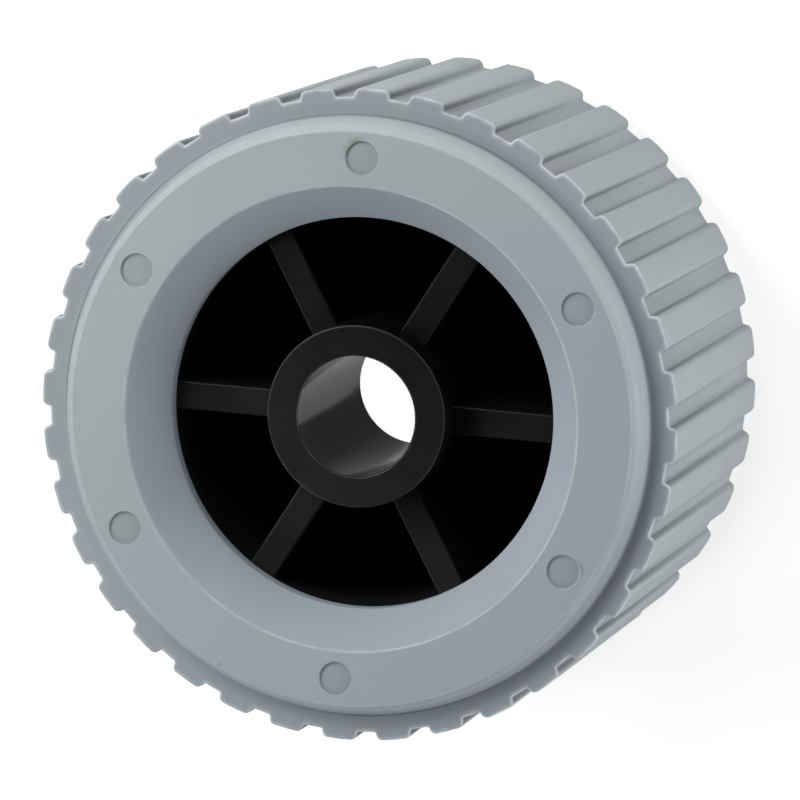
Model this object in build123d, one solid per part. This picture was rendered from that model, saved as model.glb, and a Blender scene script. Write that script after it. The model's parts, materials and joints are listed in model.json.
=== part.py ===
from build123d import *
import os
from math import cos, hypot, radians, sin, sqrt, tan

# A keel roller for a boat trailer, standing on one end: a grey rubber tyre moulded onto a black
# plastic hub. Millimetres and degrees, +Z along the axle, origin at the middle of the lower end.
# Both ends of the tyre are alike, and the end with the deep spokes faces up.

# Tyre: overall form
tread_diameter = 120.0
overall_width = 78.0
shoulder_step = 4.7

# Tyre: lugs that run along the tread
lug_count = 36
lug_height = 1.6
lug_top_width = 5.5
groove_floor_width = 3.3
lug_corner_radius = 0.8
tread_edge_bevel = 0.7

# Tyre: the ring that stands proud at each end
ring_base_diameter = 110.2
ring_face_outer_diameter = 106.8
ring_face_inner_diameter = 85.2
ring_outer_edge_radius = 1.3
ring_inner_edge_chamfer = 0.3

# Tyre: the cone that leads in from the ring, down to a short straight lip over the rim's end
cone_depth = 8.7
lip_diameter = 72.2

# Tyre: round dimples in the upper ring, between the spokes
dimple_count = 6
dimple_pitch_diameter = 95.6
dimple_diameter = 6.2
dimple_depth = 0.7

# Hub: the rim under the tyre
rim_recess = 11.2
rim_wall = 4.9

# Hub: boss and bore
bore_diameter = 22.2
boss_diameter = 33.6
boss_recess = 4.9
boss_length = 43.5
boss_edge_chamfer = 0.5
bore_chamfer = 0.4

# Hub: spokes, and the web that closes the pockets behind them
spoke_count = 6
spoke_width = 5.2
web_thickness = 4.0
boss_tail = 3.0
mould_draft = 1.0

# Places along the axle, worked out from the sizes above
tread_bottom = shoulder_step
tread_top = overall_width - shoulder_step
rim_bottom = rim_recess
rim_top = overall_width - rim_recess
boss_top = overall_width - boss_recess
boss_bottom = boss_top - boss_length
web_bottom = boss_bottom + boss_tail
web_top = web_bottom + web_thickness

# Radii that the tyre and the hub share
lip_radius = lip_diameter / 2
rim_radius = lip_radius + rim_wall


def polar(reach, across, angle):
    """The point at a reach from the axle along angle, and a distance across that direction."""
    turn = radians(angle)
    return (reach * cos(turn) - across * sin(turn), reach * sin(turn) + across * cos(turn))


def corners_at(outline, radius):
    """The corners of a flat outline that lie at a radius from the axle."""
    return [v for v in outline.vertices() if abs(hypot(v.X, v.Y) - radius) < 0.001]


def circles_at(solid, radius, height):
    """The round edges of a turned solid that have this radius and height."""
    rounds = solid.edges().filter_by(GeomType.CIRCLE)
    return [e for e in rounds if abs(e.radius - radius) < 0.001 and abs(e.center().Z - height) < 0.001]


def turned(*points):
    """A solid of revolution about the axle, from corners given as (radius, height)."""
    return revolve(make_face(Polyline(*[(r, 0, z) for r, z in points], close=True)), Axis.Z)


def drafted(radius, depth):
    """A cavity wall's radius at a depth behind its mouth, where mould draft narrows it."""
    return radius - depth * tan(radians(mould_draft))


def lug_outline():
    """The tread seen along the axle: round lug tops, sloping flanks and flat groove floors."""
    top_radius = tread_diameter / 2
    floor_reach = top_radius - lug_height
    half_top = lug_top_width / 2
    half_floor = groove_floor_width / 2
    top_reach = sqrt(top_radius**2 - half_top**2)
    pitch = 360 / lug_count
    edges = []
    for index in range(lug_count):
        lug = index * pitch
        top_start = polar(top_reach, -half_top, lug)
        top_end = polar(top_reach, half_top, lug)
        floor_start = polar(floor_reach, -half_floor, lug + pitch / 2)
        floor_end = polar(floor_reach, half_floor, lug + pitch / 2)
        next_start = polar(top_reach, -half_top, lug + pitch)
        edges.append(ThreePointArc(top_start, polar(top_radius, 0, lug), top_end))
        edges.append(Line(top_end, floor_start))
        edges.append(Line(floor_start, floor_end))
        edges.append(Line(floor_end, next_start))
    outline = make_face(Curve() + edges)
    return fillet(corners_at(outline, top_radius), lug_corner_radius)


def tread():
    """The block that carries the lugs, bevelled where their tops meet its two ends."""
    outer_radius = tread_diameter / 2
    block = Pos(0, 0, tread_bottom) * extrude(lug_outline(), tread_top - tread_bottom)
    envelope = turned(
        (0, tread_bottom),
        (outer_radius - tread_edge_bevel, tread_bottom),
        (outer_radius, tread_bottom + tread_edge_bevel),
        (outer_radius, tread_top - tread_edge_bevel),
        (outer_radius - tread_edge_bevel, tread_top),
        (0, tread_top),
    )
    return block & envelope


def end_rings():
    """The rings at both ends with the core between them, their outer edges rounded."""
    face_radius = ring_face_outer_diameter / 2
    base_radius = ring_base_diameter / 2
    core = turned(
        (0, 0),
        (face_radius, 0),
        (base_radius, tread_bottom),
        (base_radius, tread_top),
        (face_radius, overall_width),
        (0, overall_width),
    )
    edges = circles_at(core, face_radius, 0) + circles_at(core, face_radius, overall_width)
    return fillet(edges, ring_outer_edge_radius)


def tyre_cavity():
    """What the tyre leaves free: a cone and a lip at each end, and the seat of the hub's rim."""
    mouth_radius = ring_face_inner_diameter / 2
    return turned(
        (0, 0),
        (mouth_radius, 0),
        (lip_radius, cone_depth),
        (lip_radius, rim_bottom),
        (rim_radius, rim_bottom),
        (rim_radius, rim_top),
        (lip_radius, rim_top),
        (lip_radius, overall_width - cone_depth),
        (mouth_radius, overall_width),
        (0, overall_width),
    )


def dimples():
    """The round recesses in the upper ring."""
    recess = Pos(0, 0, overall_width) * Cylinder(
        dimple_diameter / 2, dimple_depth, align=(Align.CENTER, Align.CENTER, Align.MAX)
    )
    half_step = 180 / dimple_count
    return PolarLocations(dimple_pitch_diameter / 2, dimple_count, start_angle=half_step) * recess


def tyre():
    """The grey rubber moulding."""
    body = tread() + end_rings() - tyre_cavity()
    mouth_radius = ring_face_inner_diameter / 2
    mouths = circles_at(body, mouth_radius, 0) + circles_at(body, mouth_radius, overall_width)
    return chamfer(mouths, ring_inner_edge_chamfer) - dimples()


def hub_shell():
    """The rim, the web and the boss, turned as one, before spokes and bore."""
    boss_radius = boss_diameter / 2
    return turned(
        (0, boss_bottom),
        (boss_radius, boss_bottom),
        (boss_radius, web_bottom),
        (drafted(lip_radius, web_bottom - rim_bottom), web_bottom),
        (lip_radius, rim_bottom),
        (rim_radius, rim_bottom),
        (rim_radius, rim_top),
        (lip_radius, rim_top),
        (drafted(lip_radius, rim_top - web_top), web_top),
        (boss_radius, web_top),
        (boss_radius, boss_top - boss_edge_chamfer),
        (boss_radius - boss_edge_chamfer, boss_top),
        (0, boss_top),
    )


def spoke():
    """One spoke, thicker at its root on the web than at its free edge, by the mould's draft."""
    length = (lip_radius + rim_radius) / 2
    edge = Plane.XY.offset(rim_top) * Pos(length / 2, 0) * Rectangle(length, spoke_width)
    return extrude(edge, web_top - web_thickness / 2 - rim_top, taper=-mould_draft)


def hub():
    """The black plastic moulding."""
    body = hub_shell() + PolarLocations(0, spoke_count) * spoke()
    bore = Pos(0, 0, boss_bottom) * Cylinder(
        bore_diameter / 2, boss_length, align=(Align.CENTER, Align.CENTER, Align.MIN)
    )
    body -= bore
    ends = circles_at(body, bore_diameter / 2, boss_bottom) + circles_at(body, bore_diameter / 2, boss_top)
    return chamfer(ends, bore_chamfer)


os.makedirs("parts", exist_ok=True)
for name, piece in {"hub": hub(), "tyre": tyre()}.items():
    piece.label = name
    export_step(piece, f"parts/{name}.step")
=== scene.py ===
import json
from math import atan2, cos, hypot, pi, radians, sin, tan

import bmesh
import bpy
from mathutils import Matrix, Quaternion, Vector


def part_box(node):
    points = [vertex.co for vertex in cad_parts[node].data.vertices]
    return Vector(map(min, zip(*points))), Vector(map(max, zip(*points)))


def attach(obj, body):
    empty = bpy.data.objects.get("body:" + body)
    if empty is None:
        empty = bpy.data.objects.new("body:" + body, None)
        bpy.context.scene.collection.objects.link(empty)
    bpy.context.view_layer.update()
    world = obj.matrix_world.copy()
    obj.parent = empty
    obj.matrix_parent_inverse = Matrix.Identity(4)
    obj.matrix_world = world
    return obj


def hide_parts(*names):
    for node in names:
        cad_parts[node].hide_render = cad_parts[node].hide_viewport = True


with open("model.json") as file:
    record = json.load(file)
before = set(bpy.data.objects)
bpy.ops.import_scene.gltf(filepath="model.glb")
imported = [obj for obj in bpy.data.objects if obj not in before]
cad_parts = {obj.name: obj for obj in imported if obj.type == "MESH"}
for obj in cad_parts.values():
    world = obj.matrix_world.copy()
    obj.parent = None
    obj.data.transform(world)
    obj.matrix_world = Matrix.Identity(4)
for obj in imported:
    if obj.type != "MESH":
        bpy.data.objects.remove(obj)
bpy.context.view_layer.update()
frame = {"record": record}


# The hub: one injection moulding of black plastic. Six spokes and a web tie a boss with a plain bore
# to the rim that the tyre is moulded onto. Its pockets narrow towards the web, so that it could leave
# its mould, and every edge is slightly round.

hub_low, hub_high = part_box("hub")
tyre_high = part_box("tyre")[1]
mounts = {mount["name"]: mount for mount in frame["record"]["mounts"]}

overall_width = tyre_high.z
rim_radius = hub_high.x
rim_wall = 0.0049
rim_inner_radius = rim_radius - rim_wall
rim_bottom = hub_low.z
rim_top = overall_width - rim_bottom

bore_radius = mounts["axle_bore"]["dims"]["r_mm"] / 1000
boss_radius = 0.0168
boss_top = mounts["outer_boss_face"]["pos_m"][2]
boss_bottom = mounts["inner_boss_face"]["pos_m"][2]
boss_tail = 0.003
web_thickness = 0.004
web_bottom = boss_bottom + boss_tail
web_top = web_bottom + web_thickness

spoke_count = 6
spoke_width = 0.0052
spoke_root = 0.002
spoke_overlap = 0.0015
mould_draft = radians(1)
root_radius = 0.001
plastic_edge_radius = 0.0004
spoke_edge_radius = 0.00035
tight_radius = 0.0005
hub_sharp_angle = radians(40)
turning_steps = 192
merge_distance = 2e-6


def rounded(corners, steps=5):
    """A closed outline from corners given as (reach, height, radius), with the material on its left.

    Its points are (reach, height, edge). Edge is 0 on the flat. In the middle of a corner as round as
    tight_radius, or sharper, it is 1 on an outward corner and -1 on an inward one.
    """
    points = []
    for index, (reach, height, radius) in enumerate(corners):
        corner = Vector((reach, height))
        if radius == 0:
            points.append(Vector((reach, height, 0)))
            continue
        back = (Vector(corners[index - 1][:2]) - corner).normalized()
        ahead = (Vector(corners[(index + 1) % len(corners)][:2]) - corner).normalized()
        half_angle = back.angle(ahead) / 2
        centre = corner + (back + ahead).normalized() * radius / sin(half_angle)
        start = (corner + back * radius / tan(half_angle) - centre).normalized()
        end = (corner + ahead * radius / tan(half_angle) - centre).normalized()
        edge = min(1, tight_radius / radius) * (1 if ahead.cross(back) > 0 else -1)
        for step in range(steps + 1):
            place = centre + start.slerp(end, step / steps) * radius
            points.append(Vector((place.x, place.y, edge * sin(pi * step / steps))))
    return points


def grid_mesh(name, rows, closed_across, flat_ends=False):
    """A mesh of four-sided faces over rows of (x, y, z, edge).

    The last row joins the first one, unless each of the two is filled in as a flat end.
    """
    mesh = bmesh.new()
    edge_of = mesh.verts.layers.float.new("edge")
    grid = []
    for row in rows:
        grid.append([])
        for *place, edge in row:
            corner = mesh.verts.new(place)
            corner[edge_of] = edge
            grid[-1].append(corner)
    width = len(grid[0])
    for index, row in enumerate(grid):
        below = grid[index - 1]
        if flat_ends and index == 0:
            continue
        for column in range(width if closed_across else width - 1):
            following = (column + 1) % width
            mesh.faces.new((below[column], below[following], row[following], row[column]))
    if flat_ends:
        mesh.faces.new(grid[0][::-1])
        mesh.faces.new(grid[-1])
    data = bpy.data.meshes.new(name)
    mesh.to_mesh(data)
    mesh.free()
    return data


def turned(name, outline, steps):
    """A closed ring of this outline about +Z."""
    angles = [2 * pi * step / steps for step in range(steps)]
    rows = [[(p.x * cos(a), p.x * sin(a), p.y, p.z) for a in angles] for p in outline]
    return grid_mesh(name, rows, closed_across=True)


def placed(name, mesh):
    """An object at the origin that shows this mesh."""
    piece = bpy.data.objects.new(name, mesh)
    bpy.context.collection.objects.link(piece)
    return piece


def plain(piece):
    """Takes the piece's modifiers into its mesh."""
    mesh = bpy.data.meshes.new_from_object(piece.evaluated_get(bpy.context.evaluated_depsgraph_get()))
    piece.modifiers.clear()
    piece.data = mesh
    return piece


def combined(piece, other, operation):
    """The piece with the other one joined to it or cut out of it. The other one is used up."""
    modifier = piece.modifiers.new(operation, "BOOLEAN")
    modifier.operation = operation
    modifier.solver = "EXACT"
    modifier.object = other
    plain(piece)
    bpy.data.objects.remove(other)
    return piece


def smooth(piece, sharp_angle):
    """Shades the piece smooth, apart from edges sharper than the angle, and keeps its flats flat."""
    piece.data.shade_smooth()
    piece.data.set_sharp_from_angle(angle=sharp_angle)
    flats = piece.modifiers.new("flats", "WEIGHTED_NORMAL")
    flats.keep_sharp = True
    plain(piece)


def feed(tree, made, inputs):
    """Sets a node's inputs, each to a plain value, a plain colour or another node's output."""
    for name, value in inputs.items():
        socket = made.inputs[name]
        if isinstance(value, bpy.types.NodeSocket):
            tree.links.new(value, socket)
        elif socket.type == "RGBA":
            socket.default_value = (*value, 1)
        else:
            socket.default_value = value


def node(tree, kind, inputs, output=0, **settings):
    """Adds a node with these inputs and settings, and gives one of its outputs."""
    made = tree.nodes.new(kind)
    for setting, value in settings.items():
        setattr(made, setting, value)
    feed(tree, made, inputs)
    return made.outputs[output]


def repeating_tree():
    """Repeats the geometry round +Z at even steps, and merges the copies where they meet.

    Gives the tree and the identifiers of its inputs by their names.
    """
    tree = bpy.data.node_groups.new("repeat_round_the_axle", "GeometryNodeTree")
    identifiers = {}
    for name, kind in (
        ("Geometry", "NodeSocketGeometry"),
        ("Copies", "NodeSocketInt"),
        ("First Angle", "NodeSocketFloat"),
        ("Merge Distance", "NodeSocketFloat"),
        ("Material", "NodeSocketMaterial"),
    ):
        socket = tree.interface.new_socket(name=name, in_out="INPUT", socket_type=kind)
        identifiers[name] = socket.identifier
    tree.interface.new_socket(name="Geometry", in_out="OUTPUT", socket_type="NodeSocketGeometry")
    given = tree.nodes.new("NodeGroupInput").outputs

    index = node(tree, "GeometryNodeInputIndex", {})
    step = node(tree, "ShaderNodeMath", {0: 2 * pi, 1: given["Copies"]}, operation="DIVIDE")
    angle_inputs = {0: index, 1: step, 2: given["First Angle"]}
    angle = node(tree, "ShaderNodeMath", angle_inputs, operation="MULTIPLY_ADD")
    turn = node(tree, "FunctionNodeAxisAngleToRotation", {"Axis": (0, 0, 1), "Angle": angle})
    points = node(tree, "GeometryNodePoints", {"Count": given["Copies"]})
    copy_inputs = {"Points": points, "Instance": given["Geometry"], "Rotation": turn}
    copies = node(tree, "GeometryNodeInstanceOnPoints", copy_inputs)
    realised = node(tree, "GeometryNodeRealizeInstances", {"Geometry": copies})
    merge_inputs = {"Geometry": realised, "Distance": given["Merge Distance"]}
    merged = node(tree, "GeometryNodeMergeByDistance", merge_inputs)
    finish_inputs = {"Geometry": merged, "Material": given["Material"]}
    finished = node(tree, "GeometryNodeSetMaterial", finish_inputs)
    feed(tree, tree.nodes.new("NodeGroupOutput"), {"Geometry": finished})
    return tree, identifiers


repeat_tree, repeat_sockets = repeating_tree()


def repeated(name, unit, copies, first_angle, material):
    """A plain mesh of the unit repeated round the axle."""
    piece = placed(name, unit)
    modifier = piece.modifiers.new("round_the_axle", "NODES")
    modifier.node_group = repeat_tree
    settings = {
        "Copies": copies,
        "First Angle": first_angle,
        "Merge Distance": merge_distance,
        "Material": material,
    }
    for label, value in settings.items():
        modifier[repeat_sockets[label]] = value
    return plain(piece)


def drafted(depth):
    """The rim's inner radius at a depth below its end."""
    return rim_inner_radius - depth * tan(mould_draft)


def material_with(name):
    """A new material, its node tree and its main shader."""
    material = bpy.data.materials.new(name)
    material.use_nodes = True
    tree = material.node_tree
    return material, tree, tree.nodes["Principled BSDF"]


noise_span = (0.3, 0.7)
grain_height = 0.0001

darkest_black = (0.002, 0.002, 0.0021)
flowed_black = (0.004, 0.004, 0.0042)
# Painted light: the black turns paler towards the hub's lower side.
painted_light_below_black = (0.0105, 0.0105, 0.0108)
# Painted highlight: outward edges turn a paler black.
edge_highlight_black = (0.024, 0.024, 0.025)
painted_light_below_direction = (-0.3, -1, 0)
painted_light_below_span = (-0.02, 0.02)
edge_highlight_span = (0.2, 1)
plastic_roughness = (0.34, 0.44)
plastic_grain = 0.12
skin_index = 1.3
skin_gloss = (1, 1, 1)
bore_depth = 0.0002
bore_polish = 0.3
bore_index = 1.5
bore_gloss = (1, 0.93, 0.86)


def point_on(tree):
    """The place of the point that is shaded, on the piece itself."""
    return node(tree, "ShaderNodeTexCoord", {}, "Object")


def edge_on(tree):
    """The mesh's edge value: over 0 on outward corners, under 0 on inward ones."""
    return node(tree, "ShaderNodeAttribute", {}, "Fac", attribute_name="edge")


def noise_in(tree, place, scale, detail, roughness=0.5):
    """Noise that sits on the piece, with about scale lumps to a metre."""
    inputs = {"Vector": place, "Scale": scale, "Detail": detail, "Roughness": roughness}
    return node(tree, "ShaderNodeTexNoise", inputs, "Fac")


def spread(tree, value, low, high, to_low=0, to_high=1):
    """Maps a value between low and high to one between two others, and stops at both."""
    inputs = {
        "Value": value,
        "From Min": low,
        "From Max": high,
        "To Min": to_low,
        "To Max": to_high,
    }
    return node(tree, "ShaderNodeMapRange", inputs, "Result")


def colour_blend(tree, amount, first, second):
    """Mixes two colours: the first where the amount is 0, the second where it is 1."""
    return node(tree, "ShaderNodeMix", {0: amount, 6: first, 7: second}, 2, data_type="RGBA")


def product(tree, first, *others):
    """All of these values multiplied."""
    for other in others:
        first = node(tree, "ShaderNodeMath", {0: first, 1: other}, operation="MULTIPLY")
    return first


def reach_of(tree, place):
    """How far a point lies from the axle's line."""
    flat = node(tree, "ShaderNodeVectorMath", {0: place, 1: (1, 1, 0)}, operation="MULTIPLY")
    return node(tree, "ShaderNodeVectorMath", {0: flat}, "Value", operation="LENGTH")


def along(tree, place, direction):
    """How far a point lies in a direction from the frame's origin."""
    inputs = {0: place, 1: direction}
    return node(tree, "ShaderNodeVectorMath", inputs, "Value", operation="DOT_PRODUCT")


def grained(tree, noise, strength):
    """The surface's direction, roughened by this noise."""
    inputs = {"Strength": strength, "Distance": grain_height, "Height": noise}
    return node(tree, "ShaderNodeBump", inputs, "Normal")


def black_plastic():
    """Black moulded plastic with a satin skin, faint flow marks and a fine grain, shiny in the bore.
    Painted light pales its lower side, and a painted highlight pales its outward edges.
    """
    material, tree, shader = material_with("black_plastic")
    place = point_on(tree)
    flow = noise_in(tree, place, scale=90, detail=3)
    fleck = noise_in(tree, place, scale=1400, detail=2)
    colour = colour_blend(tree, spread(tree, flow, *noise_span), darkest_black, flowed_black)
    # Painted light, paler towards the hub's lower side.
    painted_light_below = spread(tree, along(tree, place, painted_light_below_direction), *painted_light_below_span)
    colour = colour_blend(tree, painted_light_below, colour, painted_light_below_black)
    # A painted highlight along the outward edges.
    edge_highlight = spread(tree, edge_on(tree), *edge_highlight_span)
    colour = colour_blend(tree, edge_highlight, colour, edge_highlight_black)

    in_bore = spread(tree, reach_of(tree, place), bore_radius, bore_radius + bore_depth, 1, 0)
    satin = spread(tree, flow, *noise_span, *plastic_roughness)
    polish = spread(tree, in_bore, 0, 1, 1, bore_polish)
    finish = {
        "Base Color": colour,
        "Roughness": product(tree, satin, polish),
        "IOR": spread(tree, in_bore, 0, 1, skin_index, bore_index),
        "Specular Tint": colour_blend(tree, in_bore, skin_gloss, bore_gloss),
        "Normal": grained(tree, fleck, plastic_grain),
    }
    feed(tree, shader, finish)
    return material


plastic = black_plastic()

hub_outline = rounded(
    [
        (bore_radius, boss_bottom, plastic_edge_radius),
        (boss_radius, boss_bottom, plastic_edge_radius),
        (boss_radius, web_bottom, root_radius),
        (drafted(web_bottom - rim_bottom), web_bottom, root_radius),
        (rim_inner_radius, rim_bottom, plastic_edge_radius),
        (rim_radius, rim_bottom, 0),
        (rim_radius, rim_top, 0),
        (rim_inner_radius, rim_top, plastic_edge_radius),
        (drafted(rim_top - web_top), web_top, root_radius),
        (boss_radius, web_top, root_radius),
        (boss_radius, boss_top, plastic_edge_radius),
        (bore_radius, boss_top, plastic_edge_radius),
    ]
)
hub = placed("moulded_hub", turned("moulded_hub", hub_outline, turning_steps))

spoke_bottom = web_top - spoke_root
spoke_growth = (rim_top - spoke_bottom) * tan(mould_draft)
spoke_section = rounded(
    [
        (-spoke_width / 2 - spoke_growth, spoke_bottom, 0),
        (spoke_width / 2 + spoke_growth, spoke_bottom, 0),
        (spoke_width / 2, rim_top, spoke_edge_radius),
        (-spoke_width / 2, rim_top, spoke_edge_radius),
    ]
)


def bar(name, section, start, end):
    """A straight closed bar along +X with the section given as (across, up)."""
    mesh = bmesh.new()
    near = [mesh.verts.new((start, p.x, p.y)) for p in section]
    far = [mesh.verts.new((end, p.x, p.y)) for p in section]
    for index in range(len(section)):
        mesh.faces.new((near[index - 1], near[index], far[index], far[index - 1]))
    mesh.faces.new(near[::-1])
    mesh.faces.new(far)
    bmesh.ops.recalc_face_normals(mesh, faces=mesh.faces)
    data = bpy.data.meshes.new(name)
    mesh.to_mesh(data)
    mesh.free()
    return data


spoke = bar("spoke", spoke_section, boss_radius - spoke_overlap, rim_inner_radius + rim_wall / 2)
spokes = repeated("spokes", spoke, spoke_count, 0.0, plastic)
combined(hub, spokes, "UNION")
hub.data.materials.clear()
hub.data.materials.append(plastic)
smooth(hub, hub_sharp_angle)
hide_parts("hub")
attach(hub, "root")


# The tyre: one moulding of grey rubber round the hub's rim. Thirty-six lugs run along its tread, a
# ring stands proud at each end, and inside each ring a cone leads in to a lip over the rim's end.
# The upper ring has a round dimple between each two spokes, left by the mould.

tread_radius = tyre_high.x
shoulder_step = 0.0047
tread_top = overall_width - shoulder_step
lug_count = 36
lug_height = 0.0016
lug_top_width = 0.0062
groove_floor_width = 0.0034
lug_upper_corner_radius = 0.0012
lug_lower_corner_radius = 0.0014
groove_corner_radius = 0.0004
tread_edge_radius = 0.0005
# The shoulder band over which the tread edge's paleness fades, partly wear and partly a painted
# highlight.
pale_rim_band_width = 0.0005
tyre_sharp_angle = radians(35)
tolerance = 1e-6

# Paler edges, partly wear and partly a painted highlight, carried in the edge value above 0.
lug_corner_wear_and_highlight = 0.45
shoulder_rim_wear_and_highlight = 0.7
front_edge_wear_and_highlight = 1.5
# Painted shade in the grooves, carried in the edge value below 0: strong on the walls, lighter on the
# floor.
groove_wall_shade = 0.85
groove_floor_shade = 0.35
groove_wall_start = 0.1
groove_wall_full = 0.4
groove_floor_start = 0.88

ring_base_radius = 0.0551
ring_face_outer_radius = 0.0527
ring_flank_top = Vector((0.05375, overall_width - 0.0008))
ring_face_inner_radius = 0.0426
ring_foot_radius = 0.0007
ring_face_edge_radius = 0.0009
ring_flank_edge_radius = 0.003
ring_inner_edge_radius = 0.0008
cone_depth = 0.0087
lip_edge_radius = 0.0008

dimple_count = 6
dimple_pitch_radius = 0.0478
dimple_radius = 0.0031
dimple_depth = 0.0005
dimple_rim_radius = 0.0003
dimple_floor_radius = 0.0002


def between(value, low, high):
    """How far a value has come from low to high, held between 0 and 1."""
    return min(1, max(0, (value - low) / (high - low)))


def lug_profile(corner_radius):
    """One lug seen along the axle, from mid-groove to mid-groove, as (point, outward, edge)."""
    floor_reach = tread_radius - lug_height
    half_pitch = pi / lug_count
    half_top = lug_top_width / 2
    top_reach = (tread_radius**2 - half_top**2) ** 0.5
    turn = Matrix.Rotation(half_pitch, 2)
    groove_middle = turn @ Vector((floor_reach, 0))
    groove_corner = turn @ Vector((floor_reach, -groove_floor_width / 2))
    half = [
        (*groove_middle, 0),
        (*groove_corner, groove_corner_radius),
        (top_reach, half_top, corner_radius),
        (tread_radius, 0, 0),
    ]
    other_half = [(x, -y, radius) for x, y, radius in half[-2::-1]]
    outline = rounded((half + other_half)[::-1], steps=4)
    profile = []
    for index, point in enumerate(outline):
        if index in (0, len(outline) - 1):
            outward = point.xy.normalized()
        else:
            onward = outline[index + 1] - outline[index - 1]
            outward = Vector((onward.y, -onward.x)).normalized()
        depth = (tread_radius - point.xy.length) / lug_height
        # Painted shade on the groove's walls and floor.
        on_wall = between(depth, 1, groove_floor_start)
        painted_shade_amount = groove_floor_shade + (groove_wall_shade - groove_floor_shade) * on_wall
        painted_shade_amount *= between(depth, groove_wall_start, groove_wall_full)
        profile.append((point.xy, outward, max(0, point.z) * lug_corner_wear_and_highlight - painted_shade_amount))
    return profile


def tyre_section():
    """The closed outline of the tyre cut through a lug, as (reach, height) points."""
    upper = [
        (tread_radius, tread_top, tread_edge_radius),
        (tread_radius - tread_edge_radius - pale_rim_band_width, tread_top, 0),
        (ring_base_radius, tread_top, ring_foot_radius),
        (*ring_flank_top, ring_flank_edge_radius),
        (ring_face_outer_radius, overall_width, ring_face_edge_radius),
        (ring_face_inner_radius, overall_width, ring_inner_edge_radius),
        (rim_inner_radius, overall_width - cone_depth, lip_edge_radius),
        (rim_inner_radius, rim_top, 0),
        (rim_radius, rim_top, 0),
    ]
    lower = [(reach, overall_width - height, radius) for reach, height, radius in upper[::-1]]
    return rounded(upper + lower)


def tyre_sector():
    """The tyre over the pitch of one lug. Outside the ring it follows the lug, inside it is round."""
    upper_profile = lug_profile(lug_upper_corner_radius)
    lower_profile = lug_profile(lug_lower_corner_radius)
    middle = overall_width / 2
    rows = []
    for place in tyre_section():
        profile = upper_profile if place.y > middle else lower_profile
        on_tread = place.x > ring_base_radius + ring_foot_radius
        on_shoulder = abs(place.y - middle) > tread_top - middle - tolerance
        inset = tread_radius - place.x
        # The shoulder's rim and the tread's front edge are paler, partly wear and partly a painted
        # highlight.
        shoulder_edge = shoulder_rim_wear_and_highlight if inset < tread_edge_radius + tolerance else 0
        row = []
        for point, outward, lug_edge in profile:
            if on_tread:
                flat = point - outward * min(inset, tread_edge_radius)
                flat -= flat.normalized() * max(0, inset - tread_edge_radius)
                edge = shoulder_edge if on_shoulder else place.z * front_edge_wear_and_highlight or lug_edge
            else:
                flat = point.normalized() * place.x
                edge = place.z
            row.append((flat.x, flat.y, place.y, edge))
        rows.append(row)
    return grid_mesh("tyre_sector", rows, closed_across=False)


upper_left_tones = ((0.302, 0.341, 0.357), (0.321, 0.355, 0.370))
lower_right_tones = ((0.289, 0.328, 0.364), (0.306, 0.343, 0.382))
tread_tones = ((0.318, 0.360, 0.377), (0.338, 0.376, 0.393))
# Painted shade: a bluish tint for the cone, the colour of its shade.
cone_shade_tint = (0.30, 0.342, 0.393)
shaded_cone_tone = (0.16, 0.19, 0.235)
# Paler tones: for edges, partly wear and partly a painted highlight, and for painted light on the
# ring's flank.
paler_tone = (0.47, 0.51, 0.53)
palest_tone = (0.60, 0.64, 0.66)
# Painted shade in corners and grooves and on the ring's flank.
painted_shade_tone = (0.055, 0.062, 0.070)
# Painted shade on the shoulder's upper left.
shoulder_shade_tone = (0.05, 0.06, 0.12)
# Painted shadow at the ring's foot.
foot_shadow_tone = (0.05, 0.06, 0.075)
stain_tone = (0.17, 0.195, 0.125)
scratch_tone = (0.17, 0.19, 0.20)
speck_tone = (0.2, 0.22, 0.235)
# How much of the painted bluish shade tint the cone takes.
cone_shade_tint_strength = 0.5
patch_span = (0.38, 0.6)
patch_range = (0.3, 1)
rubber_roughness = (0.46, 0.6)
rubber_index = 1.45
rubber_grain = 0.06

# Each stretch runs from the axle out: where it starts, is full, is still full and has ended.
# Where the ring's flank takes painted light on its upper right.
pale_band = (
    ring_face_outer_radius - 0.0005,
    ring_face_outer_radius,
    ring_base_radius - 0.0006,
    ring_base_radius + 0.0002,
)
# Where the ring's flank takes painted shade.
shaded_flank = (
    ring_flank_top.x - 0.0002,
    ring_flank_top.x + 0.0003,
    ring_base_radius - 0.0001,
    ring_base_radius + 0.0003,
)
# Where the painted shade at the ring's foot is held back, on the lower left.
unshaded_foot = (
    ring_base_radius - 0.0011,
    ring_base_radius - 0.0006,
    ring_base_radius + 0.0012,
    ring_base_radius + 0.0016,
)
# Where the painted shadow at the ring's foot lies.
shadowed_foot = (
    ring_base_radius - 0.0004,
    ring_base_radius,
    ring_base_radius,
    ring_base_radius + 0.0024,
)
cone_end = (ring_face_inner_radius - 0.0006, ring_face_inner_radius)
shoulder_start = (ring_base_radius, ring_base_radius + 0.001)
shoulder_level = (tread_top - 0.0006, tread_top - 0.0001)

stain_ring = (dimple_radius - 0.0001, dimple_radius + 0.0007, 0.0005)
stain_offset = Vector((-0.0024, 0.003, 0))
stain_size = 0.0018
stain_softness = 0.0016
scratch_ring = (dimple_radius + 0.0005, dimple_radius + 0.0006, 0.0002)
scratch_offset = Vector((0.0035, 0.0008, 0))
scratch_size = 0.0004
scratch_softness = 0.0012
speck_softness = 0.00015
specks = (
    ((-0.02214, -0.04732, overall_width), 0.0002),
    ((0.00659, -0.04679, overall_width), 0.00012),
)


def zone(tree, value, start, full, still_full, end):
    """1 where a value lies between full and still_full, and 0 before start and beyond end."""
    return product(tree, spread(tree, value, start, full), spread(tree, value, still_full, end, 1, 0))


def opposite(tree, value):
    """0 where a value is 1, and 1 where it is 0."""
    return spread(tree, value, 0, 1, 1, 0)


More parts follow.
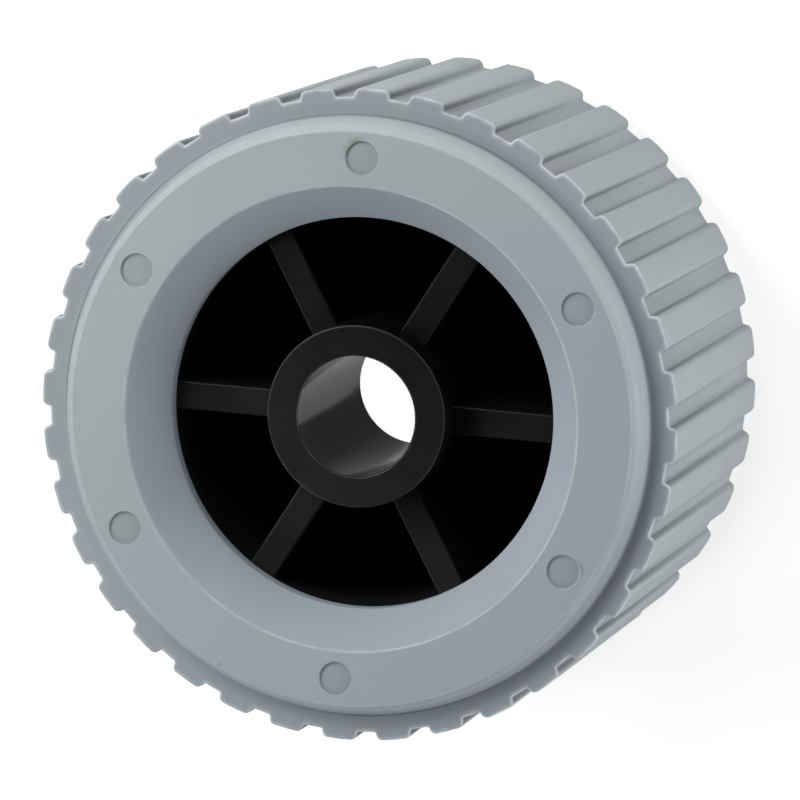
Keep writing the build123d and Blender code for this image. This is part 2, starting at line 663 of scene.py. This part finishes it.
def distance_from(tree, place, centre):
    """How far a point lies from a centre."""
    inputs = {0: place, 1: centre}
    return node(tree, "ShaderNodeVectorMath", inputs, "Value", operation="DISTANCE")


def near(tree, place, centre, size, softness):
    """1 up to a distance from a centre, and 0 where the softness ends."""
    return spread(tree, distance_from(tree, place, centre), size, size + softness, 1, 0)


def circling(tree, place, centre, inner, outer, softness):
    """1 between two distances from a centre, and 0 where the softness ends on either side."""
    distance = distance_from(tree, place, centre)
    return zone(tree, distance, inner - softness, inner, outer, outer + softness)


def dimple_at(degrees):
    """The middle of the dimple at this angle from +X."""
    around = radians(degrees)
    return Vector((dimple_pitch_radius * cos(around), dimple_pitch_radius * sin(around), overall_width))


def marks_on(tree, place, patchy):
    """The olive stain at the top dimple, the scratch at the lower right one, and two specks.

    Each is given as its amount and its tone.
    """
    top = dimple_at(90)
    beside_top = near(tree, place, top + stain_offset, stain_size, stain_softness)
    stain = product(tree, circling(tree, place, top, *stain_ring), beside_top, patchy)
    right = dimple_at(-30)
    beside_right = near(tree, place, right + scratch_offset, scratch_size, scratch_softness)
    scratch = product(tree, circling(tree, place, right, *scratch_ring), beside_right)
    spots = [(near(tree, place, speck, size, speck_softness), speck_tone) for speck, size in specks]
    return [(stain, stain_tone), (scratch, scratch_tone), *spots]


def grey_rubber():
    """Grey moulded rubber with a satin skin, edges paler partly from wear and partly as a painted
    highlight, painted shade in its corners and grooves, painted light and shade on some sides, and a
    few marks.
    """
    material, tree, shader = material_with("grey_rubber")
    place = point_on(tree)
    edge = edge_on(tree)
    mottle = spread(tree, noise_in(tree, place, scale=55, detail=4), *noise_span)
    patchy = spread(tree, noise_in(tree, place, scale=260, detail=3), *patch_span, *patch_range)
    grain = noise_in(tree, place, scale=900, detail=3, roughness=0.6)

    bluer = spread(tree, along(tree, place, (0.7, -0.7, 0)), -0.04, 0.05)
    greener_tone = colour_blend(tree, mottle, *upper_left_tones)
    bluer_tone = colour_blend(tree, mottle, *lower_right_tones)
    colour = colour_blend(tree, bluer, greener_tone, bluer_tone)
    tread_tone = colour_blend(tree, mottle, *tread_tones)

    # How much painted light and shade each side takes, between two places along a direction. Seen from
    # above, +X is to the right and +Y is up.
    rightwards = along(tree, place, (1, 0, 0))
    painted_light_upper_right = spread(tree, along(tree, place, (0.5, 0.866, 0)), 0.01, 0.045, 0, 0.4)
    flank_shade_lower_right = spread(tree, along(tree, place, (0.4, -0.9, 0)), 0.025, 0.045, 0, 0.18)
    shoulder_shade_upper_left = spread(tree, along(tree, place, (-0.6, 0.8, 0)), 0, 0.056, 0.04, 0.18)
    flank_shade_left = spread(tree, along(tree, place, (-0.9, 0.43, 0)), 0.046, 0.053, 0, 0.22)
    unshaded_lower_left = spread(tree, along(tree, place, (-0.7, -0.7, 0)), 0.036, 0.05, 0, 0.8)
    less_right = spread(tree, rightwards, 0.02, 0.05, 1, 0.7)
    more_right = spread(tree, rightwards, -0.04, 0.02, 0.066, 0.22)
    shaded_left = spread(tree, rightwards, -0.024, -0.036, 0, 0.45)

    # Where on the tyre the tints lie, and how much of them its edges and corners take: outward edges
    # paler, partly wear and partly a painted highlight, inward corners and grooves darker with painted
    # shade.
    reach = reach_of(tree, place)
    height = along(tree, place, (0, 0, 1))
    in_cone = spread(tree, reach, *cone_end, 1, 0)
    on_flank = zone(tree, reach, *shaded_flank)
    beyond_ring = spread(tree, reach, *shoulder_start)
    on_shoulder = spread(tree, height, *shoulder_level)
    under_shoulder = spread(tree, height, *shoulder_level, 1, 0)
    # Less painted shade at the ring's foot on the lower left.
    unshaded = product(tree, zone(tree, reach, *unshaded_foot), unshaded_lower_left)
    # Outward edges turn paler, partly wear and partly a painted highlight.
    worn_and_highlit_edges = spread(tree, edge, 0.05, 0.9, 0, 0.8)
    most_worn_and_highlit_edges = spread(tree, edge, 0.8, 1.4, 0, 0.7)
    # Inward corners, groove walls and floors take painted shade.
    painted_corner_shade = spread(tree, edge, -0.1, -1, 0, 0.95)

    tints = [
        (product(tree, beyond_ring, under_shoulder), tread_tone),
        # Paler edges, partly wear and partly a painted highlight.
        (product(tree, worn_and_highlit_edges, patchy), paler_tone),
        (product(tree, most_worn_and_highlit_edges, patchy), palest_tone),
        # Painted shade in inward corners and grooves, less on the right and at the foot's lower left.
        (product(tree, painted_corner_shade, less_right, opposite(tree, unshaded)), painted_shade_tone),
        # Painted light on the ring's flank, towards the upper right.
        (product(tree, zone(tree, reach, *pale_band), painted_light_upper_right), paler_tone),
        # Painted shade on the ring's flank towards the lower right.
        (product(tree, on_flank, flank_shade_lower_right), painted_shade_tone),
        # Painted shade on the shoulder towards the upper left.
        (product(tree, beyond_ring, on_shoulder, shoulder_shade_upper_left), shoulder_shade_tone),
        # Painted shade on the ring's flank towards the left.
        (product(tree, on_flank, flank_shade_left), painted_shade_tone),
        # A bluish painted shade tint inside the cone.
        (product(tree, in_cone, cone_shade_tint_strength), cone_shade_tint),
        (product(tree, in_cone, shaded_left), shaded_cone_tone),
        # Painted shadow at the ring's foot, stronger towards the right.
        (product(tree, zone(tree, reach, *shadowed_foot), more_right), foot_shadow_tone),
        *marks_on(tree, place, patchy),
    ]
    for amount, tone in tints:
        colour = colour_blend(tree, amount, colour, tone)

    finish = {
        "Base Color": colour,
        "Roughness": spread(tree, grain, *noise_span, *rubber_roughness),
        "IOR": rubber_index,
        "Normal": grained(tree, grain, rubber_grain),
    }
    feed(tree, shader, finish)
    return material


rubber = grey_rubber()
tyre = repeated("moulded_tyre", tyre_sector(), lug_count, 0.0, rubber)

cutter_flare = 0.001
cutter_height = cutter_flare / 4
dimple_outline = rounded(
    [
        (0, -dimple_depth, 0),
        (dimple_radius, -dimple_depth, dimple_floor_radius),
        (dimple_radius, 0, dimple_rim_radius),
        (dimple_radius + cutter_flare, cutter_height, 0),
        (0, cutter_height, 0),
    ]
)
dimple_steps = 48
dimple_angles = [2 * pi * step / dimple_steps for step in range(dimple_steps)]
dimple_rows = [
    [(p.x * cos(a) + dimple_pitch_radius, p.x * sin(a), p.y + overall_width, 0) for a in dimple_angles]
    for p in dimple_outline[1:-1]
]
dimple = grid_mesh("dimple", dimple_rows, closed_across=True, flat_ends=True)
dimples = repeated("dimples", dimple, dimple_count, radians(180 / dimple_count), rubber)
combined(tyre, dimples, "DIFFERENCE")

# The cut takes the dimples' edge values from the tyre's corners, so they are set here instead: a paler
# rim, partly wear and partly a painted highlight, painted shade on the wall and a darker floor.
dimple_rim_wear_and_highlight = 0.3
# Painted shade on the dimple's wall, and a darker floor.
dimple_wall_shade = 0.45
dimple_floor_darkening = 0.25
for vertex, edge in zip(tyre.data.vertices, tyre.data.attributes["edge"].data):
    place = vertex.co
    around = atan2(place.y, place.x) % (2 * pi / dimple_count) - pi / dimple_count
    reach = place.xy.length
    offset = hypot(reach * cos(around) - dimple_pitch_radius, reach * sin(around))
    depth = overall_width - place.z
    if offset > dimple_radius + 2 * dimple_rim_radius or depth > 2 * dimple_depth:
        continue
    if depth < dimple_rim_radius:
        edge.value = dimple_rim_wear_and_highlight * sin(pi * depth / dimple_rim_radius)
    elif offset > dimple_radius - dimple_floor_radius / 2:
        edge.value = -dimple_wall_shade
    else:
        edge.value = -dimple_floor_darkening
tyre.data.materials.clear()
tyre.data.materials.append(rubber)
smooth(tyre, tyre_sharp_angle)
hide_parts("tyre")
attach(tyre, "root")


# The surroundings: a white table top under a faint pale sky, eight square lamps round the roller, and
# a camera that looks down along the axle. Under the roller the table glows to reflections only, a
# painted reflection that the bore's wall shows pale on one side and dark on the other.

table_size = 3.0
table = bmesh.new()
bmesh.ops.create_grid(table, x_segments=1, y_segments=1, size=table_size / 2)
table_data = bpy.data.meshes.new("table_top")
table.to_mesh(table_data)
table.free()
table_top = placed("table_top", table_data)

paint_white = (0.65, 0.65, 0.65)
paint_roughness = 0.6
glow_white = (1, 1, 1)
inner_glow_radius = 0.03
outer_glow_radius = 0.06
inner_glow = 1
outer_glow = 0.62
# The patch under the roller that glows to reflections only, a painted reflection for the bore's wall.
mirrored_radius = 0.028
mirrored_softness = 0.004
lower_side_mirrored = (-0.005, -0.0034, 0.36, 0)
left_side_mirrored = (-0.016, -0.003, 0.2, 0.085)


def white_table():
    """White paint that the camera sees nearly pure white, with the object's shadow on it.

    The part that the bore's polished wall mirrors glows to reflections only, a painted reflection: dim,
    but brighter on its lower and left sides.
    """
    material, tree, shader = material_with("white_table")
    seen_by = tree.nodes.new("ShaderNodeLightPath").outputs
    place = point_on(tree)
    # Painted reflection: a glow seen only by glossy rays, brighter on the patch's lower and left sides.
    under_object = near(tree, place, (0, 0, 0), mirrored_radius, mirrored_softness)
    lower_side = spread(tree, along(tree, place, (0, 1, 0)), *lower_side_mirrored)
    left_side = spread(tree, along(tree, place, (1, 0, 0)), *left_side_mirrored)
    painted_reflection_sides = node(tree, "ShaderNodeMath", {0: lower_side, 1: left_side}, operation="MAXIMUM")
    painted_reflection = product(tree, under_object, painted_reflection_sides, seen_by["Is Glossy Ray"])
    reach = reach_of(tree, place)
    glow = spread(tree, reach, inner_glow_radius, outer_glow_radius, inner_glow, outer_glow)
    in_view = product(tree, glow, seen_by["Is Camera Ray"])
    finish = {
        "Base Color": paint_white,
        "Roughness": paint_roughness,
        "Emission Color": glow_white,
        "Emission Strength": node(tree, "ShaderNodeMath", {0: in_view, 1: painted_reflection}, operation="ADD"),
    }
    feed(tree, shader, finish)
    return material


table_top.data.materials.append(white_table())

sky_tone = (0.9, 0.95, 1.0)
sky_strength = 0.02
sky = bpy.data.worlds.new("pale_sky")
sky.use_nodes = True
sky_nodes = sky.node_tree.nodes
feed(sky.node_tree, sky_nodes["Background"], {"Color": sky_tone, "Strength": sky_strength})
scene = bpy.context.scene
scene.world = sky

tilt_from_axle = radians(17.143)
bearing = radians(-148.322)
roll = radians(117.521)
camera_distance = 1.105175
lens_length = 275.22
aim = Vector((0.0094926, 0.0046132, overall_width))
ahead = Vector(
    (
        sin(tilt_from_axle) * cos(bearing),
        sin(tilt_from_axle) * sin(bearing),
        -cos(tilt_from_axle),
    )
)
camera_data = bpy.data.cameras.new("camera")
camera_data.lens = lens_length
camera = bpy.data.objects.new("camera", camera_data)
camera.rotation_mode = "QUATERNION"
camera.rotation_quaternion = Quaternion(ahead, roll) @ ahead.to_track_quat("-Z", "Y")
camera.location = aim - ahead * camera_distance
scene.collection.objects.link(camera)
scene.camera = camera

lamp_side_per_distance = 0.46


def soft_lamp(name, bearing, height, distance, power):
    """A square lamp turned towards the object. Its bearing from +X and its height are in degrees."""
    around = radians(bearing)
    above = radians(height)
    direction = Vector((cos(around) * cos(above), sin(around) * cos(above), sin(above)))
    data = bpy.data.lights.new(name, "AREA")
    data.shape = "SQUARE"
    data.size = lamp_side_per_distance * distance
    data.energy = power
    lamp = bpy.data.objects.new(name, data)
    lamp.rotation_mode = "QUATERNION"
    lamp.rotation_quaternion = (-direction).to_track_quat("-Z", "Y")
    lamp.location = Vector((0, 0, overall_width / 2)) + direction * distance
    scene.collection.objects.link(lamp)


soft_lamp("upper_left_window", bearing=135, height=42, distance=0.55, power=1.7)
soft_lamp("left_window", bearing=180, height=42, distance=0.8, power=2.1)
soft_lamp("lower_left_fill", bearing=225, height=25, distance=1.3, power=4.6)
soft_lamp("lower_right_fill", bearing=315, height=14, distance=1.3, power=7.4)
soft_lamp("right_strip", bearing=0, height=8, distance=1.3, power=7.0)
soft_lamp("upper_right_strip", bearing=45, height=8, distance=1.3, power=6.0)
soft_lamp("top_fill", bearing=90, height=32, distance=1.3, power=3.0)
soft_lamp("upper_left_strip", bearing=135, height=20, distance=1.3, power=2.5)

scene.view_settings.view_transform = "Standard"
